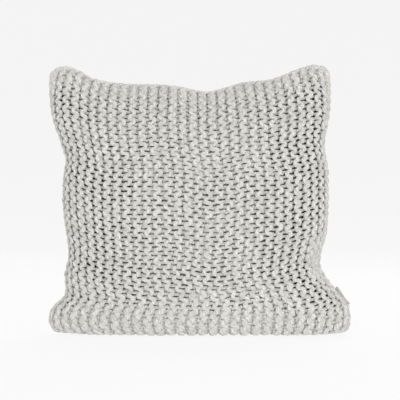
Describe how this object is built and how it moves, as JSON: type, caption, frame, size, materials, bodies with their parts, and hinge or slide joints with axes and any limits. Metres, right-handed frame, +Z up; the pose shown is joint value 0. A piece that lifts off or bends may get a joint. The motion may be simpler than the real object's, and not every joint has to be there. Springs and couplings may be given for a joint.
{
  "type": "throw pillow",
  "caption": "Square throw pillow with a chunky garter-stitch knitted cover, lining, back zip and filled inner pad, standing on its base.",
  "frame": {"origin": "middle of the flat base that the pillow stands on", "axes": "+X to the right across the width, -Y out of the front face, +Z up"},
  "size_m": [0.483, 0.1799, 0.4318],
  "materials": {
    "yarn": "thick soft matt yarn, pale warm grey, knitted in garter stitch",
    "lining": "plain woven cotton, mid grey, seen only through the gaps in the knit",
    "pad_casing": "plain woven white cotton",
    "filling": "loose white polyester fibre",
    "zip_tape": "woven polyester tape",
    "zip_metal": "dull nickel",
    "thread": "spun polyester sewing thread",
    "label": "woven satin label, blank"
  },
  "bodies": {
    "cushion": {"knit_front": "yarn", "knit_back_upper": "yarn", "knit_back_lower": "yarn", "top_seam": "yarn", "bottom_seam": "yarn", "side_seam_left": "yarn", "side_seam_right": "yarn", "lining_front": "lining", "lining_back_upper": "lining", "lining_back_lower": "lining", "pad_case_front": "pad_casing", "pad_case_back": "pad_casing", "pad_case_seam": "pad_casing", "pad_filling": "filling", "zip_tape_upper": "zip_tape", "zip_tape_lower": "zip_tape", "zip_teeth_upper": "zip_metal", "zip_teeth_lower": "zip_metal", "zip_top_stop": "zip_metal", "zip_bottom_stop": "zip_metal", "zip_stitching_upper": "thread", "zip_stitching_lower": "thread", "side_label": "label", "label_stitching": "thread", "care_label": "label"},
    "slider": {"zip_slider": "zip_metal"},
    "puller": {"zip_puller": "zip_metal"}
  },
  "joints": [
    {"name": "zip_run", "type": "hinge", "parent": "cushion", "child": "slider", "pos_m": [0, -0.44283, 0.07], "axis": [0, 0, 1], "range_deg": [0, 31.88]},
    {"name": "puller_swing", "type": "hinge", "parent": "slider", "child": "puller", "pos_m": [0.14178, 0.0536, 0.07], "axis": [0, 0, -1], "range_deg": [0, 170]}
  ]
}
